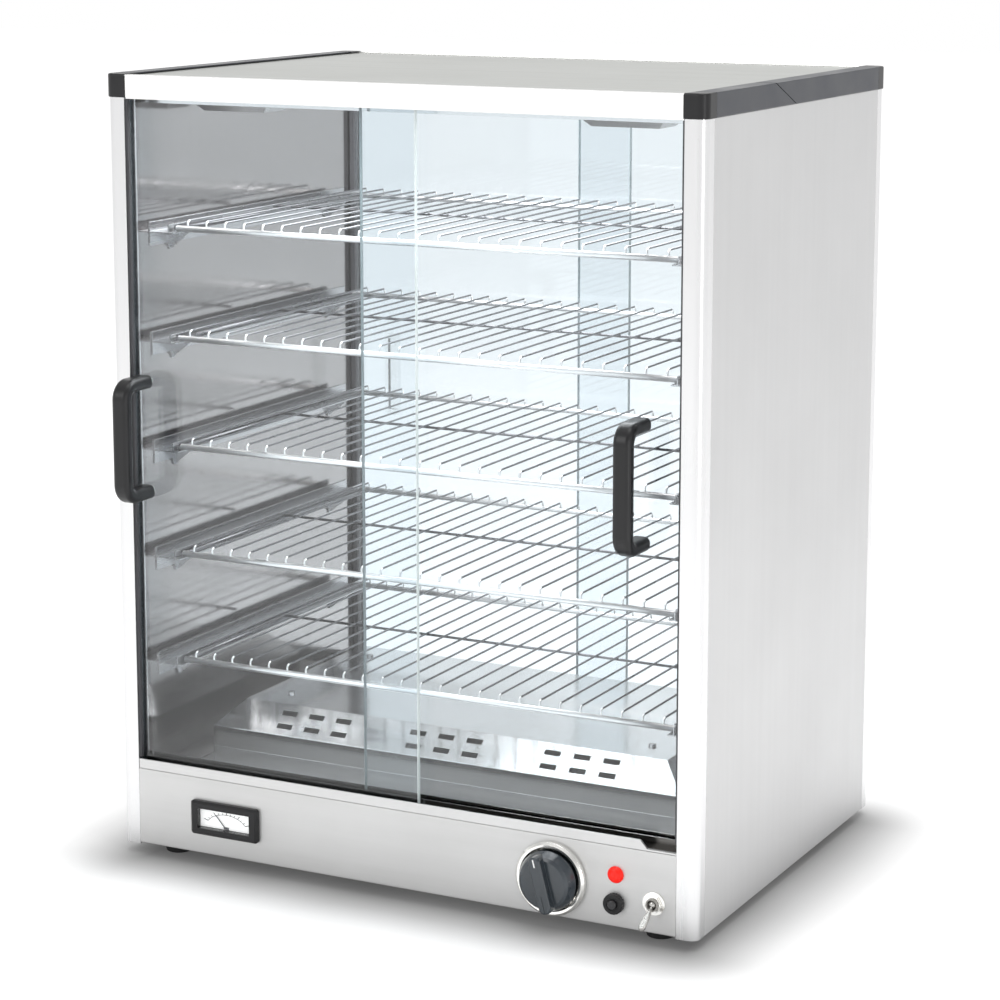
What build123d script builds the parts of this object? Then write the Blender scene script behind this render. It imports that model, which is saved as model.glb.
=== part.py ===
from build123d import *
import os
import math

# Heated display case: glass sliding doors front and rear, wire shelves,
# heater under a vented cover, controls in the base panel.
# Millimetres. +Z up, the front faces -Y, +X is the right side seen from the front.
# Everything is drawn about the cabinet's own centre and moved by Y_SHIFT at the
# end, so that the origin is the bottom centre of the whole object with its handles.

# ---- driving dimensions -------------------------------------------------
W = 620.0            # over the top trims
D = 452.0            # over the corner caps, without handles
H = 770.0            # floor to top
FOOT_H = 10.0
BAND = 22.0          # height of the top band: caps, trims, lintels
POST_X = 20.0        # corner post, width across the front
POST_Y = 19.0
POST_R = 9.0
POST_T = 2.0
SHEET = 1.2
PANEL_TOP = 88.0
LIP_TOP = 97.7
GLASS = 5.0
FRONT_TRACK_Y = -216.0   # middle of the outer pane
REAR_TRACK_Y = -204.0    # middle of the inner pane
PANE_W = 326.0
PANE_Z0, PANE_Z1 = 90.0, 754.0
OUTER_PANE_X0 = -305.0   # left edge of the outer (left) pane when shut
INNER_PANE_X0 = -43.0    # left edge of the inner (right) pane when shut
HANDLE_X_LEFT = -277.0
HANDLE_X_RIGHT = 243.0
HANDLE_Z = 421.0
HANDLE_L = 126.0
HANDLE_OUT = 45.0        # glass face to the bar's outer face
SHELF_Z = [190.0, 297.3, 404.6, 511.9, 619.2]   # front rod centres
SHELF_HX = 265.0
SHELF_HY = 175.0
WIRE_D = 2.6
ROD_D = 6.0
WIRE_RISE = 8.0
WIRES = 25
FLOOR_Z = 66.5
CEIL_Z = 741.0
COVER_HX, COVER_HY = 256.0, 140.0
COVER_Z0, COVER_Z1, COVER_TOP = 93.0, 114.0, 139.0
KNOB_X, KNOB_Z, KNOB_R = 165.0, 48.0, 28.5
BEZEL_R = 35.0
PILOT_X, PILOT_Z = 229.5, 61.4
RESET_X, RESET_Z = 228.6, 34.3
TOGGLE_X, TOGGLE_Z = 267.5, 40.0
TOGGLE_TILT = 30.0
METER_X, METER_Z, METER_W, METER_H = -188.3, 49.0, 76.0, 34.0

Z0 = FOOT_H
ZB = H - BAND
HX, HY = W / 2, D / 2
PX = HX - 1.0            # outer face of posts and side panels
PY = HY - 1.0            # front face of posts and base panels
XI = PX - POST_X         # inner edge of the posts (289)
HANDLE_FRONT = -(FRONT_TRACK_Y - GLASS / 2 - HANDLE_OUT)   # 263.5
GLAND_OUT = 6.0          # how far the rear gland stands out
Y_SHIFT = (HANDLE_FRONT - PY - GLAND_OUT) / 2

OUT = {}


def bx(x0, x1, y0, y1, z0, z1):
    return Pos((x0 + x1) / 2, (y0 + y1) / 2, (z0 + z1) / 2) * Box(abs(x1 - x0), abs(y1 - y0), abs(z1 - z0))


def cyl_y(x, z, r, y0, y1):
    return Pos(x, (y0 + y1) / 2, z) * Rot(90, 0, 0) * Cylinder(r, abs(y1 - y0))


def cyl_x(y, z, r, x0, x1):
    return Pos((x0 + x1) / 2, y, z) * Rot(0, 90, 0) * Cylinder(r, abs(x1 - x0))


def cyl_z(x, y, r, z0, z1):
    return Pos(x, y, (z0 + z1) / 2) * Cylinder(r, abs(z1 - z0))


def turn(s):
    return Rot(0, 0, 180) * s


def mirx(s):
    return mirror(s, about=Plane.YZ)


def group(items):
    solids = []
    for it in items:
        solids += list(it.solids())
    return Compound(children=solids)


def tube(points, radii, r):
    path = FilletPolyline(*points, radius=radii)
    p0, p1 = Vector(*points[0]), Vector(*points[1])
    pl = Plane(origin=points[0], z_dir=(p1 - p0))
    return sweep(pl * Circle(r), path=path)


def fuse(base, others):
    return base.fuse(*others).clean() if others else base


# ---- base pan, feet ------------------------------------------------------
pan = bx(-296, 296, -218, 218, Z0, Z0 + SHEET)
pan += bx(-296, -294.8, -218, 218, Z0, Z0 + 16)
pan += bx(294.8, 296, -218, 218, Z0, Z0 + 16)
FEET = [(-262, -196), (262, -196), (-262, 196), (262, 196)]
for x, y in FEET:
    pan -= cyl_z(x, y, 2.6, Z0 - 1, Z0 + 3)
for i in range(-4, 5):
    pan -= bx(i * 34 - 12, i * 34 + 12, -62, -57, Z0 - 1, Z0 + 3)
    pan -= bx(i * 34 - 12, i * 34 + 12, 57, 62, Z0 - 1, Z0 + 3)
for sx in (-1, 1):
    for sy in (-1, 1):
        pan -= bx(sx * 288.7, sx * 300, sy * 205.7, sy * 220, Z0 - 1, Z0 + 18)
OUT["base_pan"] = pan

foot0 = Cone(13.0, 15.0, FOOT_H - 0.1)
foot0 = fillet(foot0.edges().group_by(Axis.Z)[0], 1.5)
foot0 -= Pos(0, 0, -2.0) * Cylinder(6.0, 6.0)
foot0 -= Cylinder(2.6, 30)
OUT["feet"] = group([Pos(x, y, (FOOT_H - 0.1) / 2) * foot0 for x, y in FEET])
screw0 = Pos(0, 0, 8.0) * Cylinder(2.5, 10.0) + Pos(0, 0, 2.4) * Cylinder(4.6, 2.2) + Pos(0, 0, 12.4) * Cylinder(4.2, 2.2)
OUT["foot_screws"] = group([Pos(x, y, 0) * screw0 for x, y in FEET])

# ---- corner posts: hollow C section, open towards the doors ---------------
sec = Rectangle(POST_X, POST_Y, align=(Align.MIN, Align.MIN))
sec = fillet(sec.vertices().sort_by(lambda v: v.X + v.Y)[0], POST_R)
inner = Pos(POST_T, POST_T) * Rectangle(POST_X, POST_Y - 2 * POST_T, align=(Align.MIN, Align.MIN))
inner = fillet(inner.vertices().sort_by(lambda v: v.X + v.Y)[0], POST_R - POST_T)
post = Pos(-PX, -PY, Z0) * extrude(sec - inner, ZB - Z0 - 0.2)
OUT["corner_posts"] = group([post, mirx(post), turn(post), turn(mirx(post))])

# black strips: wipers between post lip and outer pane, buffers for the inner pane
wiper = bx(-XI, -XI + 2.4, -PY + POST_T, FRONT_TRACK_Y - GLASS / 2 - 0.5, LIP_TOP + 1.5, 746.0)
buffer_ = bx(XI - 5.3, XI - 0.2, REAR_TRACK_Y - 3.0, REAR_TRACK_Y + 4.5, LIP_TOP + 1.0, 740.5)
OUT["post_seals"] = group([wiper, mirx(wiper), turn(wiper), turn(mirx(wiper)), buffer_, turn(buffer_)])

# ---- outer side panels ----------------------------------------------------
side = bx(-PX, -PX + SHEET, -PY + POST_Y + 0.1, PY - POST_Y - 0.1, Z0, ZB - 0.2)
side += bx(-PX, -297, -PY + POST_Y + 0.1, PY - POST_Y - 0.1, Z0, Z0 + SHEET)
OUT["side_panel_left"] = side
OUT["side_panel_right"] = mirx(side)

# ---- inner side walls with front and rear returns -------------------------
ins = bx(-291, -290, -205.5, 205.5, FLOOR_Z + 0.2, CEIL_Z)
ins += bx(-307, -290, -205.5, -204.5, FLOOR_Z + 0.2, CEIL_Z)
ins += bx(-307, -290, 204.5, 205.5, FLOOR_Z + 0.2, CEIL_Z)
OUT["inner_sides"] = group([ins, mirx(ins)])

# ---- base panels -----------------------------------------------------------
fp = bx(-XI + 0.2, XI - 0.2, -PY, -PY + 1.5, Z0 + 1.5, PANEL_TOP)
fp += bx(-XI + 0.2, XI - 0.2, -PY, -PY + 13, Z0 + 1.5, Z0 + 3.0)
fp += bx(-XI + 0.2, XI - 0.2, -PY, -PY + 14, PANEL_TOP - 1.5, PANEL_TOP)
front_edges = fp.edges().filter_by(Axis.X).group_by(Axis.Y)[0]
fp = fillet(front_edges, 1.2)
rp = turn(fp)
fp -= cyl_y(KNOB_X, KNOB_Z, 5.2, -PY - 2, -PY + 3)
fp -= cyl_y(PILOT_X, PILOT_Z, 6.2, -PY - 2, -PY + 3)
fp -= cyl_y(RESET_X, RESET_Z, 6.2, -PY - 2, -PY + 3)
fp -= cyl_y(TOGGLE_X, TOGGLE_Z, 6.0, -PY - 2, -PY + 3)
fp -= bx(METER_X - 33.5, METER_X + 33.5, -PY - 2, -PY + 3, METER_Z - 12.5, METER_Z + 12.5)
OUT["front_base_panel"] = fp
GLAND_X, GLAND_Z = -236.0, 44.0
rp -= cyl_y(GLAND_X, GLAND_Z, 8.1, PY - 3, PY + 2)
for i in range(12):
    xx = -40 + i * 18
    rp -= bx(xx - 2.5, xx + 2.5, PY - 3, PY + 2, 30, 68)
OUT["rear_base_panel"] = rp

# ---- door tracks -----------------------------------------------------------
XT = XI - 0.3


def lips(z_base0, z_base1, z_end, half, front):
    t = bx(-half, half, front, REAR_TRACK_Y + 7.0, z_base0, z_base1)
    for y0, y1 in ((front, front + 2.2), (-211.0, -209.2), (-198.8, -197.0)):
        t += bx(-half, half, y0, y1, min(z_base0, z_end), max(z_base1, z_end))
    return t


bt = lips(PANEL_TOP + 0.3, PANEL_TOP + 1.7, LIP_TOP, XT, -PY + 0.6)
lip_edges = [e for e in bt.edges().filter_by(Axis.X) if e.center().Z > LIP_TOP - 0.01 and e.center().Y < -PY + 3]
bt = fillet(lip_edges, 0.95)
rear_bt = turn(bt)
# finger notch in the front lip near its right end, with a slanted end
bt -= bx(262, XT + 1, -PY - 1, -PY + 4, PANEL_TOP + 1.9, LIP_TOP + 2)
notch = make_face(Polyline((252, LIP_TOP + 1), (262.5, LIP_TOP + 1), (262.5, PANEL_TOP + 1.9), (260, PANEL_TOP + 1.9), close=True))
bt -= Pos(0, -PY + 1.5, 0) * extrude(Plane.XZ * notch, 3.0, both=True)
OUT["bottom_tracks"] = group([bt, rear_bt])
tt = lips(760.5, 761.9, 746.5, 287.8, -PY + 1.5)
OUT["top_tracks"] = group([tt, turn(tt)])

# ---- top band --------------------------------------------------------------
CAP = 22.0
lin = bx(-HX + CAP + 0.2, HX - CAP - 0.2, -PY, -PY + 1.4, ZB, H - 0.6)
lin += bx(-HX + CAP + 0.2, HX - CAP - 0.2, -PY, -PY + 7, H - 1.8, H - 0.6)
lin = fillet(lin.edges().filter_by(Axis.X).group_by(Axis.Y)[0], 0.9)
OUT["lintels"] = group([lin, turn(lin)])

trim = bx(-HX, -HX + 1.6, -HY + CAP + 0.2, HY - CAP - 0.2, ZB, H)
trim += bx(-HX, -HX + 20, -HY + CAP + 0.2, HY - CAP - 0.2, H - 1.2, H)
trim = fillet(trim.edges().filter_by(Axis.Y).group_by(Axis.X)[0], 1.0)
# slanted scarf joint between the two lengths of each trim
scarf = Pos(-HX + 5, 42, ZB + 11) * Rot(23, 0, 0) * Box(60, 100, 0.8)
cutter = scarf & bx(-HX - 2, -HX + 30, -10, 94, ZB - 1, H + 1)
trim_l = trim - cutter
OUT["side_trims"] = group([trim_l, turn(trim_l)])

cap = Rectangle(CAP, CAP, align=(Align.MIN, Align.MIN))
cap = fillet(cap.vertices().sort_by(lambda v: v.X + v.Y)[0], 9.0)
cap = Pos(-HX, -HY, ZB) * extrude(cap, BAND)
cap = fillet(cap.edges().group_by(Axis.Z)[-1], 1.6)
cap -= bx(-HX + 3, -HX + CAP + 1, -HY + 3, -HY + CAP + 1, ZB - 1, H - 4.0)
OUT["corner_caps"] = group([cap, mirx(cap), turn(cap), turn(mirx(cap))])

roof = bx(-HX + 2.0, HX - 2.0, -PY + 1.6, PY - 1.6, H - 3.2, H - 2.0)
for sx in (-1, 1):
    for sy in (-1, 1):
        roof -= Pos(sx * (HX - CAP / 2), sy * (HY - CAP / 2), H) * Box(CAP + 1.2, CAP + 1.2, 20)
roof += bx(-288, 288, -222.6, -221.6, H - 8, H - 2.0)
roof += bx(-288, 288, 221.6, 222.6, H - 8, H - 2.0)
OUT["roof_panel"] = roof

ceil = bx(-289.8, 289.8, -196.5, 196.5, CEIL_Z + 0.2, CEIL_Z + 1.2)
ceil += bx(-289.8, 289.8, -196.5, -195.5, CEIL_Z + 0.2, 759.8)
ceil += bx(-289.8, 289.8, 195.5, 196.5, CEIL_Z + 0.2, 759.8)
OUT["ceiling_liner"] = ceil

floor = bx(-289.8, 289.8, -196.5, 196.5, FLOOR_Z - 1.0, FLOOR_Z)
floor += bx(-289.8, 289.8, -196.5, -195.5, FLOOR_Z - 1.0, PANEL_TOP)
floor += bx(-289.8, 289.8, 195.5, 196.5, FLOOR_Z - 1.0, PANEL_TOP)
floor -= cyl_z(150, -110, 3.0, FLOOR_Z - 3, FLOOR_Z + 2)
for x in (-210, -186):
    floor -= cyl_z(x, 90, 5.2, FLOOR_Z - 3, FLOOR_Z + 2)
OUT["cavity_floor"] = floor

# ---- heater cover: skirt below, chamfered vented hat above ------------------
skirt = bx(-COVER_HX, COVER_HX, -COVER_HY, COVER_HY, FLOOR_Z + 0.1, COVER_Z0 - 0.1)
skirt -= bx(-COVER_HX + 1.2, COVER_HX - 1.2, -COVER_HY + 1.2, COVER_HY - 1.2, FLOOR_Z - 1, COVER_Z0 + 1)
OUT["heater_skirt"] = skirt


def hat(hx, hy, z0, z1, ztop, ch):
    b = bx(-hx, hx, -hy, hy, z0, ztop)
    return chamfer(b.edges().group_by(Axis.Z)[-1], ch)


cov = hat(COVER_HX, COVER_HY, COVER_Z0, COVER_Z1, COVER_TOP, COVER_TOP - COVER_Z1)
cov -= hat(COVER_HX - 1.2, COVER_HY - 1.2, COVER_Z0 - 2, COVER_Z1, COVER_TOP - 1.2, COVER_TOP - COVER_Z1 - 0.5)
mid_z = (COVER_Z1 + COVER_TOP) / 2
mid_y = COVER_HY - (COVER_TOP - COVER_Z1) / 2
slots = []
for sy in (-1, 1):
    for g in (-146, 0, 146):
        for c in (-31, 0, 31):
            for r in (-7.5, 7.5):
                slots.append(Pos(g + c, sy * mid_y, mid_z) * Rot(-sy * 45, 0, 0) * Pos(0, r, 0) * Box(17, 5.6, 8))
for s in slots:
    cov -= s
OUT["heater_cover"] = cov

# ---- heating element and its brackets ---------------------------------------
EZ = 84.0
pts = [(-210, 90, 52), (-210, 90, EZ), (-210, -80, EZ), (210, -80, EZ), (210, 20, EZ),
       (-160, 20, EZ), (-160, 90, EZ), (-186, 90, EZ), (-186, 90, 52)]
OUT["heating_element"] = tube(pts, [9, 24, 24, 30, 20, 12.5, 9], 4.0)
br = []
for x in (-120, 60, 180):
    b = bx(x - 1, x + 1, -92, 32, FLOOR_Z, EZ + 7)
    for y in (-80, 20):
        b -= cyl_x(y, EZ, 4.15, x - 3, x + 3)
    b -= bx(x - 3, x + 3, -68, 8, FLOOR_Z + 6, EZ + 8)
    b += bx(x - 1, x + 11, -92, 32, FLOOR_Z, FLOOR_Z + 1.2)
    br.append(b)
OUT["element_brackets"] = group(br)

# ---- thermostat --------------------------------------------------------------
YF = -PY
th = bx(KNOB_X - 18, KNOB_X + 18, YF + 4, YF + 30, 30.5, 64.5)
th = fillet(th.edges().filter_by(Axis.Y), 4)
th += bx(KNOB_X - 15, KNOB_X + 15, YF + 1.5, YF + 4, KNOB_Z - 15, KNOB_Z + 15)
th += cyl_y(KNOB_X, KNOB_Z, 5.0, YF - 1.0, YF + 5)
th -= cyl_y(KNOB_X, KNOB_Z, 3.05, YF - 2.0, YF + 16)
OUT["thermostat_body"] = th
OUT["thermostat_bulb"] = fuse(
    tube([(150, YF + 29, 52), (150, -150, 52), (150, -110, 56), (150, -110, 108), (120, -100, 108)], [20, 8, 8], 0.9),
    [cyl_x(-100, 108, 3.2, 30, 120)])
KY = YF - 9.0        # rear of the knob
shaft = cyl_y(KNOB_X, KNOB_Z, 3.0, YF - 20, YF + 15.5)
shaft -= bx(KNOB_X - 4, KNOB_X + 4, YF - 21, YF - 8, KNOB_Z + 2.0, KNOB_Z + 5)
OUT["thermostat_shaft"] = shaft

# chromed dish behind the knob
prof = make_face(Polyline((5.3, 0.1), (BEZEL_R - 1.2, 0.1), (BEZEL_R, 1.4), (BEZEL_R, 5.0), (BEZEL_R - 2.2, 7.0),
                          (BEZEL_R - 4.6, 6.6), (BEZEL_R - 6.0, 2.6), (BEZEL_R - 7.2, 1.6), (5.3, 1.6), close=True))
dish = revolve(prof, Axis.Y)
OUT["knob_bezel"] = Pos(KNOB_X, YF, KNOB_Z) * Rot(180, 0, 0) * dish

# knob: skirt, waisted drum and a grip bar with a pointer groove
ks = make_face(Polyline((0, 0), (KNOB_R - 0.6, 0), (KNOB_R, 0.8), (KNOB_R, 2.6), (KNOB_R - 1.4, 6.2), (KNOB_R - 3.6, 10.5),
                        (KNOB_R - 6.5, 12.2), (0, 12.8), close=True))
kb = revolve(ks, Axis.Y)
bar = Pos(0, 8.0, 0) * Box(12.5, 24, 2 * KNOB_R - 3)
bar = fillet(bar.edges().filter_by(Axis.Y), 5.5)
bar = fillet(bar.edges().group_by(Axis.Y)[-1], 2.0)
kb += bar & Pos(0, 10, 0) * Rot(90, 0, 0) * Cylinder(KNOB_R - 0.8, 30)
kb -= Pos(0, -5, 0) * Box(80, 10, 80)
kb -= Pos(0, 20.4, KNOB_R - 9) * Box(1.4, 2.0, 20)
knob_pose = Pos(KNOB_X, YF - 7.6, KNOB_Z) * Rot(180, 0, 0) * Rot(0, 0, 0)
knob = knob_pose * (Rot(0, 15, 0) * Rot(180, 0, 180) * Rot(180, 0, 180) * kb)
knob -= cyl_y(KNOB_X, KNOB_Z, 3.0, YF - 20, YF)
OUT["control_knob"] = knob

# ---- pilot lamp ----------------------------------------------------------------
lens = make_face(Polyline((0, 0.1), (7.8, 0.1), (7.8, 1.6), (6.6, 3.2), (4.2, 4.6), (0, 5.2), close=True))
lens = revolve(lens, Axis.Y)
OUT["pilot_lens"] = Pos(PILOT_X, YF, PILOT_Z) * Rot(180, 0, 0) * lens
pb = cyl_y(PILOT_X, PILOT_Z, 6.1, YF + 0.1, YF + 18) + cyl_y(PILOT_X, PILOT_Z, 7.4, YF + 1.6, YF + 4.2)
OUT["pilot_body"] = pb

# ---- reset button: knurled nut, threaded body, sprung button ---------------------
nut = Pos(RESET_X, YF - 3.0, RESET_Z) * Rot(90, 0, 0) * Cylinder(9.8, 5.8)
nut = fillet(nut.edges().group_by(Axis.Y)[0], 1.2)
for i in range(20):
    a = math.radians(i * 18)
    nut -= cyl_y(RESET_X + 10.3 * math.cos(a), RESET_Z + 10.3 * math.sin(a), 1.0, YF - 8, YF + 1)
nut -= cyl_y(RESET_X, RESET_Z, 6.15, YF - 8, YF + 1)
OUT["reset_nut"] = nut
rb = cyl_y(RESET_X, RESET_Z, 6.1, YF - 5.4, YF + 16) + bx(RESET_X - 9, RESET_X + 9, YF + 1.6, YF + 20, RESET_Z - 9, RESET_Z + 9)
rb -= cyl_y(RESET_X, RESET_Z, 4.6, YF - 7, YF + 12)
OUT["reset_body"] = rb
btn = cyl_y(RESET_X, RESET_Z, 4.55, YF - 8.6, YF + 8.0)
btn = fillet(btn.edges().group_by(Axis.Y)[0], 1.4)
OUT["reset_button"] = btn

# ---- toggle switch -----------------------------------------------------------------
PIV_Y = YF - 1.5
pl = cyl_y(TOGGLE_X, TOGGLE_Z, 11.0, YF - 1.3, YF - 0.1)
pl -= cyl_y(TOGGLE_X, TOGGLE_Z, 5.95, YF - 3, YF + 1)
hexn = Pos(TOGGLE_X, YF - 1.4, TOGGLE_Z) * extrude(Plane.XZ * RegularPolygon(8.2, 6), 2.6)
hexn -= cyl_y(TOGGLE_X, TOGGLE_Z, 5.95, YF - 9, YF + 3)
OUT["toggle_plate"] = group([pl, hexn])
tb = cyl_y(TOGGLE_X, TOGGLE_Z, 5.9, YF - 6.0, YF + 3) + bx(TOGGLE_X - 7, TOGGLE_X + 7, YF + 1.6, YF + 24, TOGGLE_Z - 14, TOGGLE_Z + 14)
tb -= cyl_y(TOGGLE_X, TOGGLE_Z, 4.7, YF - 8, YF + 8)
OUT["toggle_body"] = tb
lv = Sphere(4.4)
bat = make_face(Polyline((0, 0), (1.9, 0), (1.9, -7), (3.1, -20), (3.3, -28), (2.4, -31), (0, -32), close=True))
bat = revolve(bat, Axis.Y)
bat &= Pos(0, -17, 0) * Box(7.5, 40, 4.2)
lv += bat
lv += cyl_x(0, 0, 1.0, -4.5, 4.5)
lever =Pos(TOGGLE_X, PIV_Y, TOGGLE_Z) * Rot(TOGGLE_TILT, 0, 0) * lv
OUT["toggle_lever"] = lever

# ---- thermometer --------------------------------------------------------------------
mb = bx(METER_X - METER_W / 2, METER_X + METER_W / 2, YF - 6.0, YF - 0.1, METER_Z - METER_H / 2, METER_Z + METER_H / 2)
mb = fillet(mb.edges().filter_by(Axis.Y), 3.0)
mb = chamfer(mb.faces().sort_by(Axis.Y)[0].edges(), 2.4)
mb -= bx(METER_X - 29.5, METER_X + 29.5, YF - 8, YF + 2, METER_Z - 10, METER_Z + 10)
mb += bx(METER_X - 33, METER_X + 33, YF - 0.1, YF + 22, METER_Z - 12, METER_Z + 12) - bx(METER_X - 31, METER_X + 31, YF - 2, YF + 20, METER_Z - 10, METER_Z + 10)
OUT["thermometer_case"] = mb
OUT["thermometer_face"] = bx(METER_X - 30.8, METER_X + 30.8, YF + 1.0, YF + 2.0, METER_Z - 9.8, METER_Z + 9.8)
OUT["thermometer_window"] = bx(METER_X - 29.3, METER_X + 29.3, YF - 3.6, YF - 2.4, METER_Z - 9.8, METER_Z + 9.8)

# ---- ceiling lamps --------------------------------------------------------------------
LAMP_X, LY = (-234.0, 184.0), -100.0
hs = bx(-42, 42, -26, 26, CEIL_Z - 12, CEIL_Z)
hs = chamfer(hs.faces().sort_by(Axis.Z)[0].edges(), 8)
hs -= bx(-33, 33, -17, 17, CEIL_Z - 14, CEIL_Z - 1.4)
OUT["lamp_housings"] = group([Pos(x, LY, 0) * hs for x in LAMP_X])
tb0 = cyl_x(0, CEIL_Z - 6.0, 3.0, -26, 26) + cyl_x(0, CEIL_Z - 6.0, 3.6, -31, -26) + cyl_x(0, CEIL_Z - 6.0, 3.6, 26, 31)
OUT["lamp_tubes"] = group([Pos(x, LY, 0) * tb0 for x in LAMP_X])
df = bx(-32.8, 32.8, -16.8, 16.8, CEIL_Z - 11.8, CEIL_Z - 10.4)
OUT["lamp_diffusers"] = group([Pos(x, LY, 0) * df for x in LAMP_X])

# ---- panes ---------------------------------------------------------------------------
def pane(x0, yc):
    p = bx(x0, x0 + PANE_W, yc - GLASS / 2, yc + GLASS / 2, PANE_Z0, PANE_Z1)
    return chamfer(p.edges().filter_by(Axis.Z), 0.6)


def holed(p, x, yc):
    for s in (-1, 1):
        p -= cyl_y(x, HANDLE_Z + s * (HANDLE_L / 2 - 9), 3.0, yc - 5, yc + 5)
    return p


pl_left = holed(pane(OUTER_PANE_X0, FRONT_TRACK_Y), HANDLE_X_LEFT, FRONT_TRACK_Y)
pl_right = holed(pane(INNER_PANE_X0, REAR_TRACK_Y), HANDLE_X_RIGHT, REAR_TRACK_Y)
OUT["pane_front_left"] = pl_left
OUT["pane_front_right"] = pl_right
OUT["pane_rear_right"] = turn(pane(OUTER_PANE_X0, FRONT_TRACK_Y))
OUT["pane_rear_left"] = turn(pane(INNER_PANE_X0, REAR_TRACK_Y))

# ---- D handles: one bent bar with thick feet, and their screws -------------------------
def handle(x, yglass):
    hz = HANDLE_L / 2 - 9
    yo = yglass - HANDLE_OUT + 6.5
    path = FilletPolyline((x, yglass, HANDLE_Z - hz), (x, yo, HANDLE_Z - hz), (x, yo, HANDLE_Z + hz), (x, yglass, HANDLE_Z + hz), radius=[13, 13])
    prof = Plane(origin=(x, yglass, HANDLE_Z - hz), x_dir=(1, 0, 0), z_dir=(0, -1, 0)) * RectangleRounded(18, 13, 5.2)
    h = sweep(prof, path=path)
    for s in (-1, 1):
        h -= cyl_y(x, HANDLE_Z + s * hz, 2.0, yglass - 14, yglass + 1)
    return h


def handle_screws(x, yc):
    hz = HANDLE_L / 2 - 9
    out = []
    for s in (-1, 1):
        z = HANDLE_Z + s * hz
        k = cyl_y(x, z, 2.0, yc - GLASS / 2 - 12, yc + GLASS / 2 + 1)
        k += cyl_y(x, z, 4.6, yc + GLASS / 2 + 0.0, yc + GLASS / 2 + 2.4)
        out.append(k)
    return group(out)


OUT["handle_front_left"] = handle(HANDLE_X_LEFT, FRONT_TRACK_Y - GLASS / 2)
OUT["handle_front_right"] = handle(HANDLE_X_RIGHT, REAR_TRACK_Y - GLASS / 2)
OUT["handle_screws_left"] = handle_screws(HANDLE_X_LEFT, FRONT_TRACK_Y)
OUT["handle_screws_right"] = handle_screws(HANDLE_X_RIGHT, REAR_TRACK_Y)


# low finger pulls bonded to the rear panes
def pull(x, yface):
    b = bx(x - 8, x + 8, yface - 6.6, yface, HANDLE_Z - 45, HANDLE_Z + 45)
    b = fillet(b.edges().filter_by(Axis.Y), 5)
    b -= bx(x - 5, x + 4.6, yface - 8, yface - 1.6, HANDLE_Z - 39, HANDLE_Z + 39)
    return b


OUT["finger_pull_rear_right"] = turn(pull(HANDLE_X_LEFT, FRONT_TRACK_Y - GLASS / 2))
OUT["finger_pull_rear_left"] = turn(pull(HANDLE_X_RIGHT, REAR_TRACK_Y - GLASS / 2))

# ---- wire shelves -------------------------------------------------------------------------
# drawn with square bars of the rods' and wires' gauge
def wire_run(x):
    h = WIRE_D / 2
    y = SHELF_HY - 1.0
    w = bx(x - h, x + h, -y - h, y + h, WIRE_RISE - h, WIRE_RISE + h)
    return [w, bx(x - h, x + h, -y - h, -y + h, 0.0, WIRE_RISE), bx(x - h, x + h, y - h, y + h, 0.0, WIRE_RISE)]


R2 = ROD_D / 2
rods = [bx(-SHELF_HX, SHELF_HX, s * SHELF_HY - R2, s * SHELF_HY + R2, -R2, R2) for s in (-1, 1)]
for sx in (-1, 1):
    rods.append(bx(sx * (SHELF_HX - 3.4) - 2.4, sx * (SHELF_HX - 3.4) + 2.4, -SHELF_HY, SHELF_HY, -2.4, 2.6))
rods.append(bx(-SHELF_HX + 1.4, SHELF_HX - 1.4, -1.6, 1.6, 2.4, WIRE_RISE - 1.0))
span = 2 * (SHELF_HX - 12)
wires = []
for i in range(WIRES):
    wires += wire_run(-span / 2 + span * i / (WIRES - 1))
shelf0 = rods[0].fuse(*(rods[1:] + wires))
for i, z in enumerate(SHELF_Z):
    OUT["wire_shelf_%d" % (i + 1)] = Pos(0, 0, z) * shelf0

rails = []
for z in SHELF_Z:
    # channel: wall flange, floor that carries the side rod, guide rib beside it
    r = bx(-289.9, -288.7, -186, 186, z - 17, z + 6.0)
    r += bx(-289.9, -261.5, -186, 186, z - 4.3, z - 3.1)
    r += bx(-268.4, -267.2, -186, 186, z - 3.6, z + 4.6)
    for y in (-150, 150):
        gus = make_face(Polyline((y - 9, z - 4.3), (y + 9, z - 4.3), (y + 2.5, z - 24), (y - 2.5, z - 24), close=True))
        r += Pos(-289.9, 0, 0) * extrude(Plane.YZ * gus, 1.6)
        web = make_face(Polyline((-289.4, z - 4.0), (-264.0, z - 4.0), (-289.4, z - 24), close=True))
        r += Pos(0, y + 0.8, 0) * extrude(Plane.XZ * web, 1.6)
    rails += [r, mirx(r)]
OUT["shelf_rails"] = group(rails)

# ---- rear services --------------------------------------------------------------------------
gl = cyl_y(GLAND_X, GLAND_Z, 8.0, PY - 9, PY + 3)
gl += Pos(GLAND_X, PY + 3.9, GLAND_Z) * extrude(Plane.XZ * RegularPolygon(11.0, 6), 3.8)
gl += cyl_y(GLAND_X, GLAND_Z, 8.6, PY + 3.8, PY + GLAND_OUT)
gl += cyl_y(GLAND_X, GLAND_Z, 10.5, PY - 5.0, PY - 1.6)
gl -= cyl_y(GLAND_X, GLAND_Z, 4.5, PY - 12, PY + 12)
OUT["cable_gland"] = gl
tbk = bx(-262, -214, 150, 172, Z0 + SHEET, Z0 + 22)
for i in range(3):
    tbk -= cyl_z(-251 + i * 13, 161, 2.4, Z0 + 12, Z0 + 30)
    tbk -= cyl_y(-251 + i * 13, Z0 + 9, 2.2, 148, 174)
OUT["terminal_block"] = tbk

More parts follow.
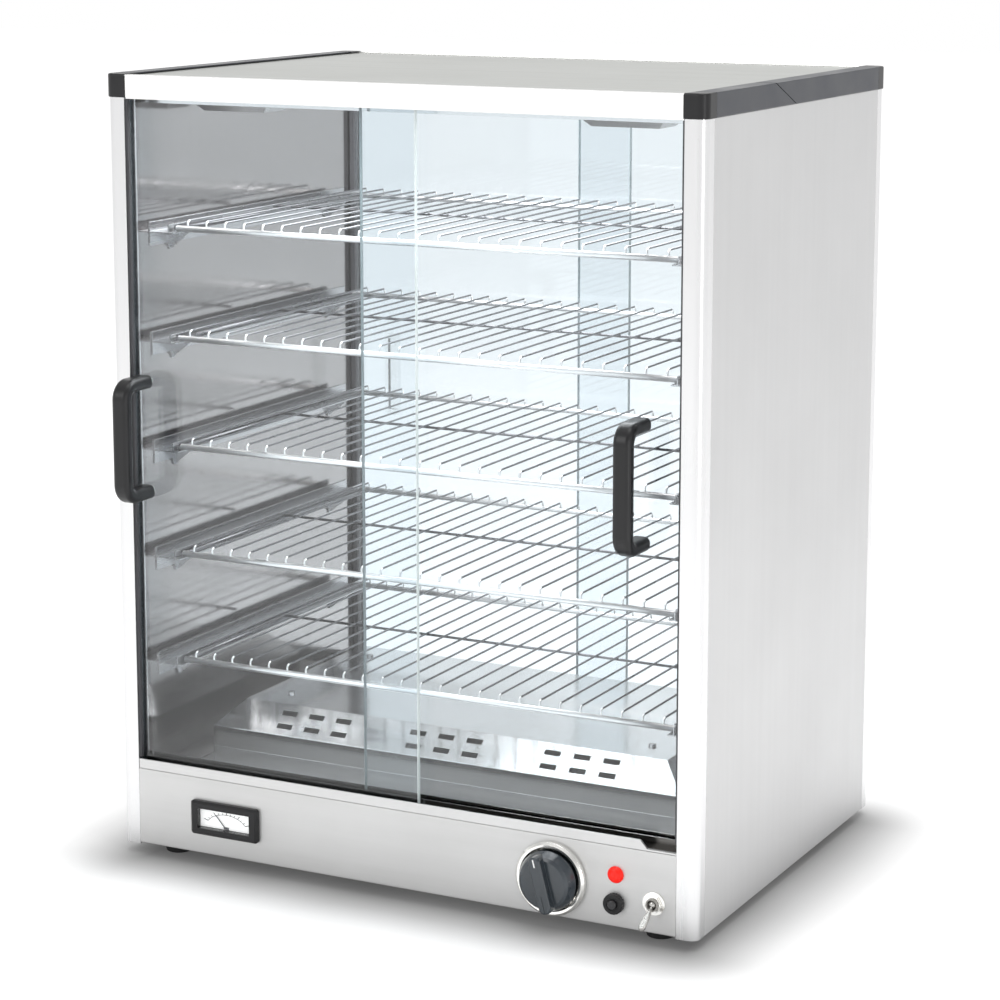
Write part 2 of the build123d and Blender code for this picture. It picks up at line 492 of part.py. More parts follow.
# screws that hold the hat to its skirt, and the rear panel
scr = []
for sx in (-1, 1):
    for sy in (-1, 1):
        x, y = sx * 200, sy * 80
        scr.append(cyl_z(x, y, 3.6, COVER_TOP, COVER_TOP + 2.0))
for x in (-270, -90, 90, 270):
    scr.append(cyl_y(x, 20, 3.4, PY + 0.02, PY + 0.98))
OUT["cover_screws"] = group(scr)


def main():
    os.makedirs("parts", exist_ok=True)
    for name, shape in OUT.items():
        s = Pos(0, Y_SHIFT, 0) * shape
        export_step(s, "parts/%s.step" % name)
    print(len(OUT), "nodes; Y_SHIFT", Y_SHIFT)


main()
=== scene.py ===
import bpy, bmesh, math
from mathutils import Vector, Matrix


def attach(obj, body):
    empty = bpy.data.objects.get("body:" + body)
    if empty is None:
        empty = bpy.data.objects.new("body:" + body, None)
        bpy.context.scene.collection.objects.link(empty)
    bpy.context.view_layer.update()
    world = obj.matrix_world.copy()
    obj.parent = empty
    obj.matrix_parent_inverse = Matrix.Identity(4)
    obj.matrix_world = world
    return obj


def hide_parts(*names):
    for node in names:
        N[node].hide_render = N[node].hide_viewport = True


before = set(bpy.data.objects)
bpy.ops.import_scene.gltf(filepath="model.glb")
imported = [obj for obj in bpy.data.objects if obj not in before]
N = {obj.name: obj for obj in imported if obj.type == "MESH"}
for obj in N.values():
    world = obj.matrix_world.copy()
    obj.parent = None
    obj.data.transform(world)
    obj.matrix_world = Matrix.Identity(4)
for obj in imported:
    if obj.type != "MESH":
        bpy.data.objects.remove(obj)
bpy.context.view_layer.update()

YS = 0.01625          # the cabinet's centre stands this far behind the origin
MM = 0.001

# ------------------------------------------------------------------ camera
SHIFT_PX = -100.0
CAM = (1.2671, -2.4656, 0.9382)
YAW, PITCH, FOC = 0.4733, 0.1753, 2861.7
cam_data = bpy.data.cameras.new("cam")
cam = bpy.data.objects.new("cam", cam_data)
bpy.context.scene.collection.objects.link(cam)
fwd = Vector((-math.sin(YAW) * math.cos(PITCH), math.cos(YAW) * math.cos(PITCH), -math.sin(PITCH)))
right = Vector((math.cos(YAW), math.sin(YAW), 0))
up = right.cross(fwd)
cam.matrix_world = Matrix.Translation(CAM) @ Matrix((right, up, -fwd)).transposed().to_4x4()
cam_data.sensor_width = 36.0
cam_data.lens = FOC / 1000.0 * 36.0
cam_data.shift_y = SHIFT_PX / 1000.0
cam_data.dof.use_dof = False
cam_data.clip_start, cam_data.clip_end = 0.05, 50
bpy.context.scene.camera = cam
bpy.context.scene.view_settings.view_transform = "Standard"
bpy.context.scene.view_settings.look = "None"


# ------------------------------------------------------------------ node helpers
class Tree:
    def __init__(self, name):
        self.m = bpy.data.materials.new(name)
        self.m.use_nodes = True
        self.t = self.m.node_tree
        self.p = self.t.nodes["Principled BSDF"]
        self.out = self.t.nodes["Material Output"]

    def n(self, kind, **kw):
        node = self.t.nodes.new(kind)
        for k, v in kw.items():
            if k.startswith("in_"):
                node.inputs[k[3:].replace("_", " ")].default_value = v
            else:
                setattr(node, k, v)
        return node

    def l(self, a, b):
        self.t.links.new(a, b)

    def coords(self, scale=(1, 1, 1), loc=(0, 0, 0), rot=(0, 0, 0)):
        tc = self.n("ShaderNodeTexCoord")
        mp = self.n("ShaderNodeMapping")
        mp.inputs["Scale"].default_value = scale
        mp.inputs["Location"].default_value = loc
        mp.inputs["Rotation"].default_value = rot
        self.l(tc.outputs["Object"], mp.inputs["Vector"])
        return mp.outputs["Vector"]

    def noise(self, vec, scale, detail=3.0, rough=0.5):
        n = self.n("ShaderNodeTexNoise")
        n.inputs["Scale"].default_value = scale
        n.inputs["Detail"].default_value = detail
        n.inputs["Roughness"].default_value = rough
        self.l(vec, n.inputs["Vector"])
        return n.outputs["Fac"]

    def ramp(self, fac, stops):
        r = self.n("ShaderNodeValToRGB")
        el = r.color_ramp.elements
        while len(el) < len(stops):
            el.new(0.5)
        for e, (p, c) in zip(el, stops):
            e.position = p
            e.color = (c, c, c, 1) if isinstance(c, (int, float)) else (*c, 1)
        self.l(fac, r.inputs["Fac"])
        return r.outputs["Color"]

    def maprange(self, fac, lo, hi, a=0.0, b=1.0):
        r = self.n("ShaderNodeMapRange")
        r.inputs["From Min"].default_value, r.inputs["From Max"].default_value = a, b
        r.inputs["To Min"].default_value, r.inputs["To Max"].default_value = lo, hi
        self.l(fac, r.inputs["Value"])
        return r.outputs["Result"]

    def mixcol(self, fac, c1, c2, blend="MIX"):
        m = self.n("ShaderNodeMix", data_type="RGBA", blend_type=blend)
        if isinstance(fac, (int, float)):
            m.inputs[0].default_value = fac
        else:
            self.l(fac, m.inputs[0])
        for sock, c in ((m.inputs[6], c1), (m.inputs[7], c2)):
            if isinstance(c, tuple):
                sock.default_value = (*c, 1)
            else:
                self.l(c, sock)
        return m.outputs[2]

    def bump(self, h, strength, dist):
        b = self.n("ShaderNodeBump")
        b.inputs["Strength"].default_value = strength
        b.inputs["Distance"].default_value = dist
        self.l(h, b.inputs["Height"])
        return b

    def normal(self, bump=None, bevel=0.0):
        if bevel:
            bv = self.n("ShaderNodeBevel", samples=4)
            bv.inputs["Radius"].default_value = bevel
            if bump is not None:
                self.l(bv.outputs["Normal"], bump.inputs["Normal"])
                self.l(bump.outputs["Normal"], self.p.inputs["Normal"])
            else:
                self.l(bv.outputs["Normal"], self.p.inputs["Normal"])
        elif bump is not None:
            self.l(bump.outputs["Normal"], self.p.inputs["Normal"])


def metal(name, col, rough, grain="x", spread=0.05, streak=0.05, bump=0.04, aniso=0.0, tint=None, bevel=0.0006, fine=900.0):
    """Brushed or polished sheet: long streaks along one axis, blotches, fine scratches."""
    k = Tree(name)
    s = {"x": (0.02, 1, 1), "y": (1, 0.02, 1), "z": (1, 1, 0.02)}[grain]
    v = k.coords(scale=s)
    fine_n = k.noise(v, fine, 4.0, 0.65)
    broad = k.noise(v, fine / 9, 3.0, 0.5)
    blot = k.noise(k.coords(), 7.0, 3.0, 0.55)
    base = k.mixcol(k.maprange(fine_n, 0.0, 1.0, 0.3, 0.7), tuple(c * (1 - streak) for c in col), tuple(min(1, c * (1 + streak)) for c in col))
    base = k.mixcol(k.maprange(blot, 0.0, 0.5, 0.35, 0.75), base, tint or tuple(c * 0.94 for c in col))
    k.l(base, k.p.inputs["Base Color"])
    k.p.inputs["Metallic"].default_value = 1.0
    add = k.n("ShaderNodeMath", operation="ADD")
    k.l(k.maprange(broad, -spread, spread, 0.25, 0.75), add.inputs[0])
    k.l(k.maprange(blot, rough - spread * 0.6, rough + spread * 0.6, 0.3, 0.7), add.inputs[1])
    k.l(add.outputs[0], k.p.inputs["Roughness"])
    if aniso:
        k.p.inputs["Anisotropic"].default_value = aniso
    b = k.bump(fine_n, bump, 0.0004)
    k.normal(b, bevel)
    return k.m


def plastic(name, col, rough, bump=0.12, scale=900.0, var=0.2, coat=0.0, bevel=0.0006, spec=0.5):
    k = Tree(name)
    v = k.coords()
    g = k.noise(v, scale, 3.0, 0.6)
    blot = k.noise(v, 22.0, 3.0, 0.5)
    base = k.mixcol(k.maprange(blot, 0, 1, 0.3, 0.7), tuple(c * (1 - var) for c in col), tuple(min(1, c * (1 + var)) for c in col))
    k.l(base, k.p.inputs["Base Color"])
    k.l(k.maprange(blot, rough - 0.06, rough + 0.08, 0.3, 0.7), k.p.inputs["Roughness"])
    k.p.inputs["Specular IOR Level"].default_value = spec
    if coat:
        k.p.inputs["Coat Weight"].default_value = coat
        k.p.inputs["Coat Roughness"].default_value = 0.08
    b = k.bump(g, bump, 0.0002)
    k.normal(b, bevel)
    return k.m


def clear(name, tint, gloss_tint=(1, 1, 1), base=0.03, smudge=0.02):
    """Thin clear sheet: what is behind shows through, reflections by angle, faint smears."""
    k = Tree(name)
    tr = k.n("ShaderNodeBsdfTransparent")
    v = k.coords(scale=(1, 1, 0.35))
    sm = k.noise(v, 6.0, 4.0, 0.6)
    k.l(k.mixcol(k.maprange(sm, 0, 1, 0.35, 0.7), tint, tuple(max(0, c - smudge) for c in tint)), tr.inputs["Color"])
    k.p.inputs["Base Color"].default_value = (*gloss_tint, 1)
    k.p.inputs["Metallic"].default_value = 1.0
    k.l(k.maprange(sm, 0.01, 0.05, 0.3, 0.7), k.p.inputs["Roughness"])
    lw = k.n("ShaderNodeLayerWeight")
    lw.inputs["Blend"].default_value = 0.5
    pw = k.n("ShaderNodeMath", operation="POWER")
    k.l(lw.outputs["Facing"], pw.inputs[0])
    pw.inputs[1].default_value = 5.0
    mr = k.maprange(pw.outputs[0], base, 0.9, 0.0, 1.0)
    mix = k.n("ShaderNodeMixShader")
    k.l(mr, mix.inputs["Fac"])
    k.l(tr.outputs[0], mix.inputs[1])
    k.l(k.p.outputs[0], mix.inputs[2])
    k.l(mix.outputs[0], k.out.inputs["Surface"])
    return k.m


M = {}
M["satin"] = metal("satin_sheet", (0.625, 0.625, 0.622), 0.54, "x", 0.04, 0.012, 0.012)
M["satin_v"] = metal("satin_sheet_upright", (0.610, 0.610, 0.612), 0.50, "z", 0.03, 0.010, 0.010)
M["mirror"] = metal("mirror_sheet", (0.90, 0.90, 0.905), 0.20, "z", 0.03, 0.04, 0.02)
# inner side walls: a darker copy of the mirror steel, the lower brightness is painted shade
M["mirror_dark"] = metal("mirror_sheet_side_painted_shade", (0.43, 0.410, 0.405), 0.13, "z", 0.04, 0.03, 0.02)
M["bright"] = metal("bright_sheet", (0.97, 0.97, 0.96), 0.24, "x", 0.04, 0.02, 0.01)
M["cover"] = metal("cover_sheet", (0.96, 0.96, 0.955), 0.15, "x", 0.04, 0.05, 0.03)
M["roof"] = metal("roof_sheet", (0.515, 0.525, 0.50), 0.36, "x", 0.04, 0.015, 0.012)
M["post"] = metal("post_section", (0.73, 0.73, 0.735), 0.26, "z", 0.03, 0.012, 0.010)
M["rail"] = metal("rail_sheet", (0.52, 0.52, 0.53), 0.27, "y", 0.05, 0.04, 0.03)
M["lamp"] = metal("lamp_housing_sheet", (0.42, 0.42, 0.42), 0.30, "x", 0.04, 0.04, 0.02)
M["lever"] = metal("lever_metal", (0.50, 0.49, 0.47), 0.16, "y", 0.03, 0.04, 0.02)
M["polish"] = metal("polished_trim", (0.90, 0.89, 0.86), 0.10, "x", 0.03, 0.03, 0.01)
M["sheath"] = metal("heated_sheath", (0.30, 0.27, 0.24), 0.38, "x", 0.08, 0.25, 0.06, tint=(0.36, 0.25, 0.16))
M["black"] = plastic("black_moulding", (0.009, 0.009, 0.010), 0.32, 0.10, 1100.0, spec=0.35)
M["handle"] = plastic("handle_moulding", (0.008, 0.008, 0.009), 0.34, 0.10, 900.0, coat=0.08, spec=0.35)
M["trim"] = plastic("edge_trim", (0.024, 0.027, 0.035), 0.34, 0.08, 900.0, spec=0.4)
M["rubber"] = plastic("foot_rubber", (0.015, 0.015, 0.016), 0.72, 0.35, 700.0)
M["strip"] = plastic("strip_rubber", (0.045, 0.045, 0.050), 0.55, 0.25, 700.0)
M["knob"] = plastic("knob_moulding", (0.026, 0.034, 0.042), 0.22, 0.05, 900.0, coat=0.35)
M["button"] = plastic("button_moulding", (0.02, 0.02, 0.022), 0.25, 0.05, 900.0)
M["white"] = plastic("dial_card_painted_glow", (0.90, 0.90, 0.89), 0.5, 0.05, 900.0, var=0.03)
M["ink"] = plastic("dial_ink", (0.02, 0.02, 0.03), 0.5, 0.05, 900.0, bevel=0.0)
M["mark"] = plastic("pointer_paint", (0.85, 0.85, 0.85), 0.45, 0.05, 900.0, bevel=0.0, var=0.03)
M["grey"] = plastic("switch_moulding", (0.30, 0.29, 0.27), 0.45, 0.15, 700.0)
M["glass"] = clear("pane_sheet", (0.940, 0.960, 0.971), base=0.035, smudge=0.008)
M["window"] = clear("window_sheet", (0.97, 0.975, 0.975), base=0.04, smudge=0.006)
M["diffuser"] = plastic("lamp_diffuser", (0.80, 0.80, 0.78), 0.4, 0.1, 700.0, var=0.03)
M["tube"] = plastic("lamp_glass", (0.85, 0.85, 0.82), 0.15, 0.02, 300.0, var=0.03)
# the dial card's emission is a painted glow that lifts it out of the shade of its recess; the lamp diffusers glow as
# lamps
for key, e in (("white", 0.42), ("diffuser", 0.5)):
    pr = M[key].node_tree.nodes["Principled BSDF"]
    pr.inputs["Emission Color"].default_value = (1, 1, 1, 1)
    pr.inputs["Emission Strength"].default_value = e


def by_depth(name, edge, soft, c_out, r_out, c_in, r_in, grain="x"):
    """Metal coloured by depth: the outer colour near the front and rear planes, a darker inner colour between them as
    painted shade.
    """
    k = Tree(name)
    tc = k.n("ShaderNodeTexCoord")
    sp = k.n("ShaderNodeSeparateXYZ")
    k.l(tc.outputs["Object"], sp.inputs[0])
    sub = k.n("ShaderNodeMath", operation="SUBTRACT")
    k.l(sp.outputs["Y"], sub.inputs[0])
    sub.inputs[1].default_value = YS
    ab = k.n("ShaderNodeMath", operation="ABSOLUTE")
    k.l(sub.outputs[0], ab.inputs[0])
    mask = k.maprange(ab.outputs[0], 0.0, 1.0, edge - soft, edge + soft)
    s3 = {"x": (0.02, 1, 1), "y": (1, 0.02, 1)}[grain]
    nz = k.noise(k.coords(scale=s3), 500.0, 3.0, 0.6)
    big = k.noise(k.coords(), 14.0, 3.0, 0.5)
    inner = k.mixcol(k.maprange(big, 0, 1, 0.3, 0.7), tuple(c * 0.85 for c in c_in), tuple(min(1, c * 1.15) for c in c_in))
    outer = k.mixcol(k.maprange(nz, 0, 1, 0.3, 0.7), tuple(c * 0.98 for c in c_out), tuple(min(1, c * 1.02) for c in c_out))
    k.l(k.mixcol(mask, inner, outer), k.p.inputs["Base Color"])
    k.p.inputs["Metallic"].default_value = 1.0
    rr = k.maprange(mask, r_in, r_out)
    add = k.n("ShaderNodeMath", operation="ADD")
    k.l(rr, add.inputs[0])
    k.l(k.maprange(big, -0.03, 0.03, 0.3, 0.7), add.inputs[1])
    k.l(add.outputs[0], k.p.inputs["Roughness"])
    k.normal(k.bump(nz, 0.02, 0.0003))
    return k.m


# wires: the front and rear rods kept at full brightness as a painted highlight, the wires between them darkened as
# painted shade; track: the front lip face in the base panel's colour, the channel behind it darkened as painted shade
M["chrome"] = by_depth("wire_painted_highlight_and_shade", 0.1712, 0.0004, (1.0, 1.0, 1.0), 0.34, (0.20, 0.20, 0.21), 0.28, "x")
M["track"] = by_depth("track_sheet_painted_shade", 0.2205, 0.0003, (0.600, 0.600, 0.598), 0.42, (0.13, 0.125, 0.12), 0.25, "x")

# cut edge of the front left pane: greenish glass edge, painted bright as a highlight
k = Tree("pane_edge_painted_highlight")
v = k.coords(scale=(1, 1, 0.2))
nz = k.noise(v, 60.0, 3.0, 0.5)
k.l(k.mixcol(k.maprange(nz, 0, 1, 0.3, 0.7), (0.62, 0.70, 0.70), (0.78, 0.84, 0.84)), k.p.inputs["Base Color"])
k.l(k.maprange(nz, 0.12, 0.3, 0.3, 0.7), k.p.inputs["Roughness"])
k.p.inputs["Specular IOR Level"].default_value = 0.8
M["edge"] = k.m

# cut edges of the other three panes, painted dark as shade where they are seen against the light
k = Tree("pane_edge_painted_shade")
nz = k.noise(k.coords(scale=(1, 1, 0.2)), 60.0, 3.0, 0.5)
k.l(k.mixcol(k.maprange(nz, 0, 1, 0.3, 0.7), (0.16, 0.20, 0.21), (0.28, 0.33, 0.34)), k.p.inputs["Base Color"])
k.l(k.maprange(nz, 0.12, 0.3, 0.3, 0.7), k.p.inputs["Roughness"])
M["edge_dark"] = k.m

# red lens
k = Tree("red_lens_shell")
v = k.coords()
ve = k.n("ShaderNodeTexVoronoi", feature="F1")
ve.inputs["Scale"].default_value = 900.0
k.l(v, ve.inputs["Vector"])
k.l(k.mixcol(k.maprange(ve.outputs["Distance"], 0, 1, 0.0, 0.8), (0.90, 0.02, 0.008), (0.75, 0.008, 0.004)), k.p.inputs["Base Color"])
k.l(k.maprange(ve.outputs["Distance"], 0.15, 0.32), k.p.inputs["Roughness"])
k.p.inputs["Emission Color"].default_value = (0.95, 0.02, 0.01, 1)
k.p.inputs["Emission Strength"].default_value = 0.22
k.p.inputs["Specular IOR Level"].default_value = 0.25
M["red"] = k.m


def paint(nodes, m):
    for name in nodes:
        o = N[name]
        if not o.material_slots:
            o.data.materials.append(m)
        for s in o.material_slots:
            s.material = m


paint(["front_base_panel", "rear_base_panel", "base_pan", "cavity_floor"], M["satin"])
paint(["side_panel_left", "side_panel_right"], M["satin_v"])
paint(["inner_sides"], M["mirror_dark"])
paint(["ceiling_liner", "heater_skirt"], M["mirror"])
paint(["heater_cover"], M["cover"])
paint(["lamp_housings"], M["lamp"])
paint(["toggle_lever"], M["lever"])
paint(["lintels", "top_tracks"], M["bright"])
paint(["bottom_tracks"], M["track"])
paint(["roof_panel"], M["roof"])
paint(["corner_posts"], M["post"])
paint(["shelf_rails", "element_brackets", "cover_screws"], M["rail"])
paint(["side_trims"], M["trim"])
paint(["corner_caps", "thermometer_case", "reset_nut", "cable_gland", "pilot_body", "reset_body"], M["black"])
paint(["handle_front_left", "handle_front_right"], M["handle"])
paint(["toggle_body", "terminal_block", "thermostat_body"], M["grey"])
paint(["feet"], M["rubber"])
paint(["post_seals"], M["strip"])
paint(["knob_bezel", "toggle_plate", "handle_screws_left", "handle_screws_right", "foot_screws"], M["polish"])
paint(["heating_element", "thermostat_bulb", "thermostat_shaft"], M["sheath"])
paint(["finger_pull_rear_left", "finger_pull_rear_right"], M["window"])
paint(["control_knob"], M["knob"])
paint(["pilot_lens"], M["red"])
paint(["reset_button"], M["button"])
paint(["thermometer_face"], M["white"])
paint(["thermometer_window"], M["window"])
paint(["lamp_tubes"], M["tube"])
paint(["lamp_diffusers"], M["diffuser"])
paint(["pane_front_left", "pane_front_right", "pane_rear_left", "pane_rear_right"], M["glass"])


# ------------------------------------------------------------------ mesh helpers
def new_piece(name, verts, faces, mat, body, smooth=True):
    me = bpy.data.meshes.new(name)
    me.from_pydata(verts, [], faces)
    me.update()
    o = bpy.data.objects.new(name, me)
    bpy.context.scene.collection.objects.link(o)
    me.materials.append(mat)
    if smooth:
        for p in me.polygons:
            p.use_smooth = True
    if body:
        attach(o, body)
    return o


def tube_mesh(paths, seg=10):
    """paths: list of (points, radius). Returns verts and faces of closed round tubes."""
    V, F = [], []
    for pts, r in paths:
        pts = [Vector(p) for p in pts]
        n = len(pts)
        base = len(V)
        prev = None
        for i, p in enumerate(pts):
            if i == 0:
                d = (pts[1] - pts[0]).normalized()
            elif i == n - 1:
                d = (pts[-1] - pts[-2]).normalized()
            else:
                d = ((pts[i + 1] - p).normalized() + (p - pts[i - 1]).normalized()).normalized()
            if prev is None:
                a = Vector((0, 0, 1)) if abs(d.z) < 0.9 else Vector((1, 0, 0))
                u = d.cross(a).normalized()
            else:
                u = (prev - d * prev.dot(d)).normalized()
            prev = u
            w = d.cross(u)
            for j in range(seg):
                t = 2 * math.pi * j / seg
                V.append(tuple(p + u * (r * math.cos(t)) + w * (r * math.sin(t))))
        for i in range(n - 1):
            for j in range(seg):
                a = base + i * seg + j
                b = base + i * seg + (j + 1) % seg
                F.append((a, b, b + seg, a + seg))
        F.append(tuple(base + j for j in reversed(range(seg))))
        F.append(tuple(base + (n - 1) * seg + j for j in range(seg)))
    return V, F


def arc_pts(c, r, a0, a1, plane, k=5):
    out = []
    for i in range(k + 1):
        a = a0 + (a1 - a0) * i / k
        if plane == "yz":
            out.append((c[0], c[1] + r * math.cos(a), c[2] + r * math.sin(a)))
        elif plane == "xy":
            out.append((c[0] + r * math.cos(a), c[1] + r * math.sin(a), c[2]))
        else:
            out.append((c[0] + r * math.cos(a), c[1], c[2] + r * math.sin(a)))
    return out


# ------------------------------------------------------------------ wire shelves
SHELF_Z = [0.190, 0.2973, 0.4046, 0.5119, 0.6192]
HXS, HYS, RISE = 0.265, 0.175, 0.008
for i, z in enumerate(SHELF_Z):
    paths = []
    for s in (-1, 1):
        paths.append(([(-HXS + 0.0002, YS + s * HYS, z), (-HXS / 2, YS + s * HYS, z - 0.00001), (0, YS + s * HYS, z), (HXS - 0.0002, YS + s * HYS, z)], 0.0030))
        paths.append(([(s * (HXS - 0.0034), YS - HYS, z), (s * (HXS - 0.0034), YS, z + 0.00001), (s * (HXS - 0.0034), YS + HYS, z)], 0.0024))
    paths.append(([(-HXS + 0.0015, YS, z + 0.0054), (0, YS, z + 0.0054), (HXS - 0.0015, YS, z + 0.0054)], 0.0013))
    W = 25
    span = 2 * (HXS - 0.012)
    for w in range(W):
        x = -span / 2 + span * w / (W - 1)
        ye, rr = HYS - 0.001, 0.0032
        pts = [(x, YS - ye, z), (x, YS - ye, z + RISE - rr)]
        pts += arc_pts((x, YS - ye + rr, z + RISE - rr), rr, math.pi, math.pi / 2, "yz")[1:]
        pts += [(x, YS, z + RISE)]
        pts += arc_pts((x, YS + ye - rr, z + RISE - rr), rr, math.pi / 2, 0, "yz")
        pts += [(x, YS + ye, z)]
        paths.append((pts, 0.0010))
    V, F = tube_mesh(paths, 10)
    o = new_piece("round_wire_shelf_%d" % (i + 1), V, F, M["chrome"], "cabinet")
    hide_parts("wire_shelf_%d" % (i + 1))

# ------------------------------------------------------------------ pane edges: cut edges of the panes, one painted bright as a highlight, three painted dark as shade
def bar_mesh(boxes, bevel=0.0003):
    bm = bmesh.new()
    for (x0, x1, y0, y1, z0, z1) in boxes:
        r = bmesh.ops.create_cube(bm, size=1.0)
        for v in r["verts"]:
            v.co = Vector(((x0 + x1) / 2 + v.co.x * (x1 - x0), (y0 + y1) / 2 + v.co.y * (y1 - y0), (z0 + z1) / 2 + v.co.z * (z1 - z0)))
    if bevel:
        bmesh.ops.bevel(bm, geom=bm.edges[:], offset=bevel, segments=2, affect="EDGES", profile=0.6)
    return bm


def bm_piece(name, bm, mat, body, smooth=False):
    me = bpy.data.meshes.new(name)
    bm.to_mesh(me)
    bm.free()
    o = bpy.data.objects.new(name, me)
    bpy.context.scene.collection.objects.link(o)
    me.materials.append(mat)
    if smooth:
        for p in me.polygons:
            p.use_smooth = True
    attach(o, body)
    return o


def b_in(x0, x1, y0, y1, z0, z1):
    """A box in millimetres about the cabinet's centre, as metres in the row frame."""
    return (x0 * MM, x1 * MM, y0 * MM + YS, y1 * MM + YS, z0 * MM, z1 * MM)


E = 0.35
bm_piece("edge_front_left", bar_mesh([b_in(21 - 0.2, 21 + E, -218.3, -213.7, 92, 752)], 0.0002), M["edge"], "front_left_door")
bm_piece("edge_front_right", bar_mesh([b_in(-43 - E, -43 + 0.2, -206.3, -201.7, 92, 752)], 0.0002), M["edge_dark"], "front_right_door")
bm_piece("edge_rear_right", bar_mesh([b_in(-21 - E, -21 + 0.2, 213.7, 218.3, 92, 752)], 0.0002), M["edge_dark"], "rear_right_door")
bm_piece("edge_rear_left", bar_mesh([b_in(43 - 0.2, 43 + E, 201.7, 206.3, 92, 752)], 0.0002), M["edge_dark"], "rear_left_door")

# ------------------------------------------------------------------ thermometer card: scale and needle
cx, cz, yf = -188.3, 49.0, -225.0
ticks = []
bm = bmesh.new()


def flat_bar(bm, p0, p1, w, y0, y1):
    (xa, za), (xb, zb) = p0, p1
    d = Vector((xb - xa, zb - za))
    L = d.length
    d.normalize()
    nrm = Vector((-d.y, d.x)) * (w / 2)
    quad = [(xa + nrm.x, za + nrm.y), (xa - nrm.x, za - nrm.y), (xb - nrm.x, zb - nrm.y), (xb + nrm.x, zb + nrm.y)]
    vs = [bm.verts.new((q[0] * MM, y0 * MM + YS, q[1] * MM)) for q in quad] + [bm.verts.new((q[0] * MM, y1 * MM + YS, q[1] * MM)) for q in quad]
    for f in ((0, 1, 2, 3), (7, 6, 5, 4), (0, 4, 5, 1), (1, 5, 6, 2), (2, 6, 7, 3), (3, 7, 4, 0)):
        bm.faces.new([vs[i] for i in f])


# arc scale across the card, opening upwards
arc_c, arc_r = (cx, cz - 10.5), 15.5
steps = 24
for i in range(steps):
    a0 = math.radians(28 + 124 * i / steps)
    a1 = math.radians(28 + 124 * (i + 1) / steps)
    flat_bar(bm, (arc_c[0] + 1.55 * arc_r * math.cos(a0), arc_c[1] + arc_r * math.sin(a0)), (arc_c[0] + 1.55 * arc_r * math.cos(a1), arc_c[1] + arc_r * math.sin(a1)), 0.5, yf + 0.75, yf + 1.05)
for i in range(13):
    a = math.radians(28 + 124 * i / 12)
    r1 = arc_r + (3.2 if i % 3 == 0 else 1.9)
    flat_bar(bm, (arc_c[0] + 1.55 * arc_r * math.cos(a), arc_c[1] + arc_r * math.sin(a)), (arc_c[0] + 1.55 * r1 * math.cos(a), arc_c[1] + r1 * math.sin(a)), 0.75 if i % 3 == 0 else 0.45, yf + 0.75, yf + 1.05)
a = math.radians(128)
flat_bar(bm, (cx, cz - 9.0), (cx + 18 * math.cos(a), cz - 9.0 + 15.5 * math.sin(a)), 1.0, yf - 0.6, yf - 0.1)
flat_bar(bm, (cx - 2.6, cz - 8.4), (cx + 2.6, cz - 8.4), 2.6, yf - 0.7, yf + 0.9)
bmesh.ops.recalc_face_normals(bm, faces=bm.faces[:])
bm_piece("thermometer_scale", bm, M["ink"], "cabinet")

# ------------------------------------------------------------------ knob pointer paint
bm = bmesh.new()
bmesh.ops.create_cube(bm, size=1.0)
for vtx in bm.verts:
    vtx.co = Vector((vtx.co.x * 0.0013, vtx.co.y * 0.0008, vtx.co.z * 0.0075))
bmesh.ops.bevel(bm, geom=bm.edges[:], offset=0.00018, segments=1, affect="EDGES")
KC = Vector((0.165, (-225.0 - 7.6 - 19.8) * MM + YS, 0.048))
rot = Matrix.Rotation(math.radians(-15), 4, "Y")
bm.transform(Matrix.Translation(KC) @ rot @ Matrix.Translation((0, 0.0, 0.0215)))
bm_piece("knob_pointer", bm, M["mark"], "knob")

# ------------------------------------------------------------------ floor, world, lights
bm = bmesh.new()
S = 14.0
vs = [bm.verts.new(c) for c in ((-S, -S, 0), (S, -S, 0), (S, S, 0), (-S, S, 0))]
bm.faces.new(vs)
me = bpy.data.meshes.new("floor")
bm.to_mesh(me)
bm.free()
floor = bpy.data.objects.new("floor", me)
bpy.context.scene.collection.objects.link(floor)
# floor with a painted contact shadow: darker around an inset footprint under the cabinet, shifted 10 mm right and 20
# mm forward, fading out over 160 mm, in the base colour and the emission alike
k = Tree("floor_painted_shadow")
tc = k.n("ShaderNodeTexCoord")
sp = k.n("ShaderNodeSeparateXYZ")
k.l(tc.outputs["Object"], sp.inputs[0])


def op(kind, a, b=None):
    m = k.n("ShaderNodeMath", operation=kind)
    for i, v in enumerate((a, b)):
        if v is None:
            continue
        if isinstance(v, (int, float)):
            m.inputs[i].default_value = v
        else:
            k.l(v, m.inputs[i])
    return m.outputs[0]


def outside(axis, centre, half):
    return op("MAXIMUM", op("SUBTRACT", op("ABSOLUTE", op("SUBTRACT", sp.outputs[axis], centre)), half), 0.0)


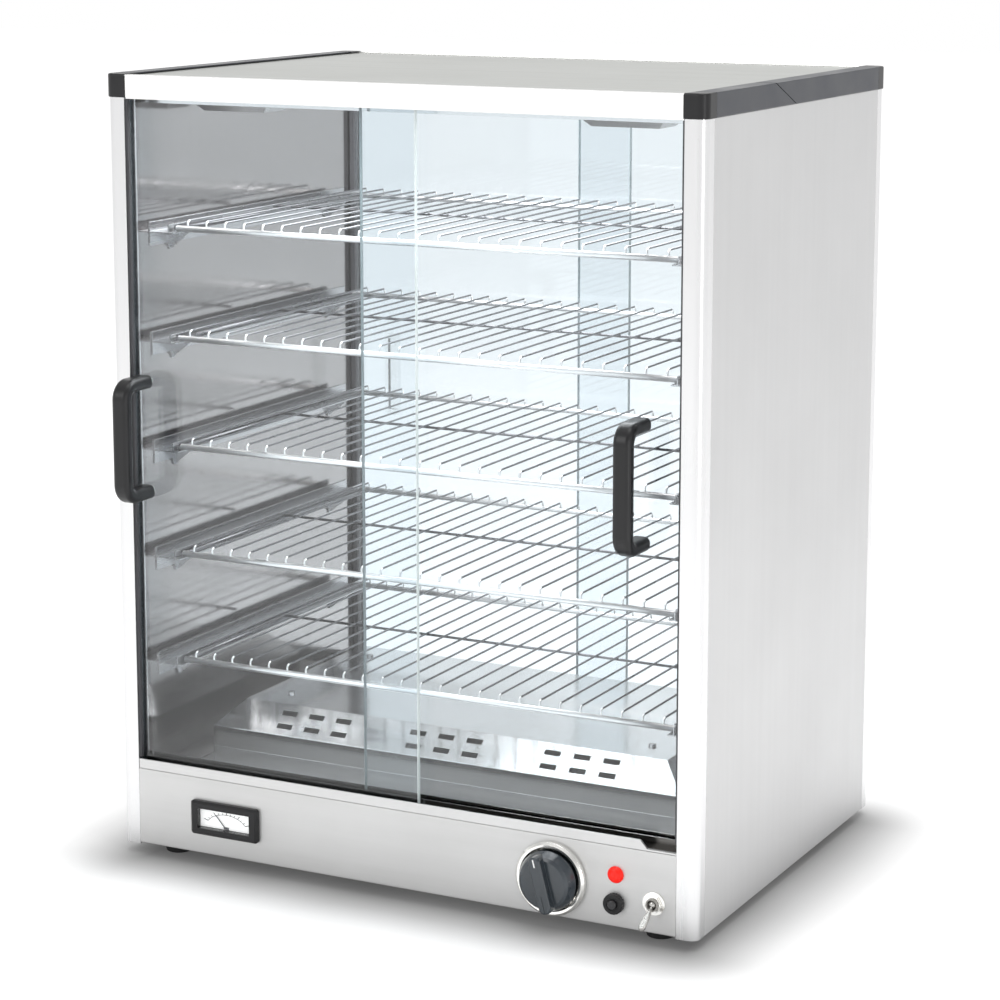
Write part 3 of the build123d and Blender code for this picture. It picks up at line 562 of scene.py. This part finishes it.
dx = outside("X", 0.010, 0.288)
dy = outside("Y", YS - 0.020, 0.205)
dist = op("SQRT", op("ADD", op("MULTIPLY", dx, dx), op("MULTIPLY", dy, dy)))
nz = k.noise(k.coords(), 3.0, 2.0, 0.5)
dist = op("ADD", dist, k.maprange(nz, -0.006, 0.006, 0.3, 0.7))
# painted shadow ramp: 0.22 at the footprint's edge, rising to full white at 160 mm, with noise on the edge
painted_shadow = k.ramp(k.maprange(dist, 0.0, 1.0, 0.0, 0.16), [(0.0, 0.22), (0.22, 0.44), (0.45, 0.70), (0.70, 0.91), (1.0, 1.0)])
k.l(k.mixcol(1.0, painted_shadow, (0.90, 0.90, 0.90), "MULTIPLY"), k.p.inputs["Base Color"])
k.l(painted_shadow, k.p.inputs["Emission Color"])
k.p.inputs["Emission Strength"].default_value = 0.34
k.p.inputs["Roughness"].default_value = 0.9
k.p.inputs["Specular IOR Level"].default_value = 0.1
me.materials.append(k.m)

world = bpy.data.worlds.new("studio")
bpy.context.scene.world = world
world.use_nodes = True
wt = world.node_tree
bg = wt.nodes["Background"]
tc = wt.nodes.new("ShaderNodeTexCoord")
sep = wt.nodes.new("ShaderNodeSeparateXYZ")
wt.links.new(tc.outputs["Generated"], sep.inputs[0])
rp = wt.nodes.new("ShaderNodeValToRGB")
el = rp.color_ramp.elements
el[0].position, el[0].color = 0.0, (1, 1, 1, 1)
el[1].position, el[1].color = 1.0, (0.95, 0.95, 0.95, 1)
for pos, c in ((0.24, 1.0), (0.42, 0.72), (0.62, 0.62), (0.85, 0.90)):
    e = el.new(pos)
    e.color = (c, c, c, 1)
wt.links.new(sep.outputs["Z"], rp.inputs["Fac"])
wt.links.new(rp.outputs["Color"], bg.inputs["Color"])
bg.inputs["Strength"].default_value = 1.0


def area(name, loc, target, size, power, size_y=None, col=(1, 1, 1)):
    d = bpy.data.lights.new(name, "AREA")
    d.energy = power
    d.color = col
    d.shape = "RECTANGLE"
    d.size, d.size_y = size, size_y or size
    o = bpy.data.objects.new(name, d)
    o.location = loc
    o.rotation_euler = (Vector(target) - Vector(loc)).to_track_quat("-Z", "Y").to_euler()
    bpy.context.scene.collection.objects.link(o)
    return o


area("key", (0.5, 0.1, 3.0), (0, 0, 0.2), 2.0, 34, 2.0)
area("front_soft", (-1.4, -3.0, 2.0), (0, 0, 0.4), 1.8, 22, 1.6)
area("corner_strip", (2.1, -1.25, 0.55), (0.3, -0.2, 0.4), 0.14, 7, 1.5)
area("under_ceiling", (0, YS, 0.7385), (0, YS, 0), 0.50, 3.8, 0.34)
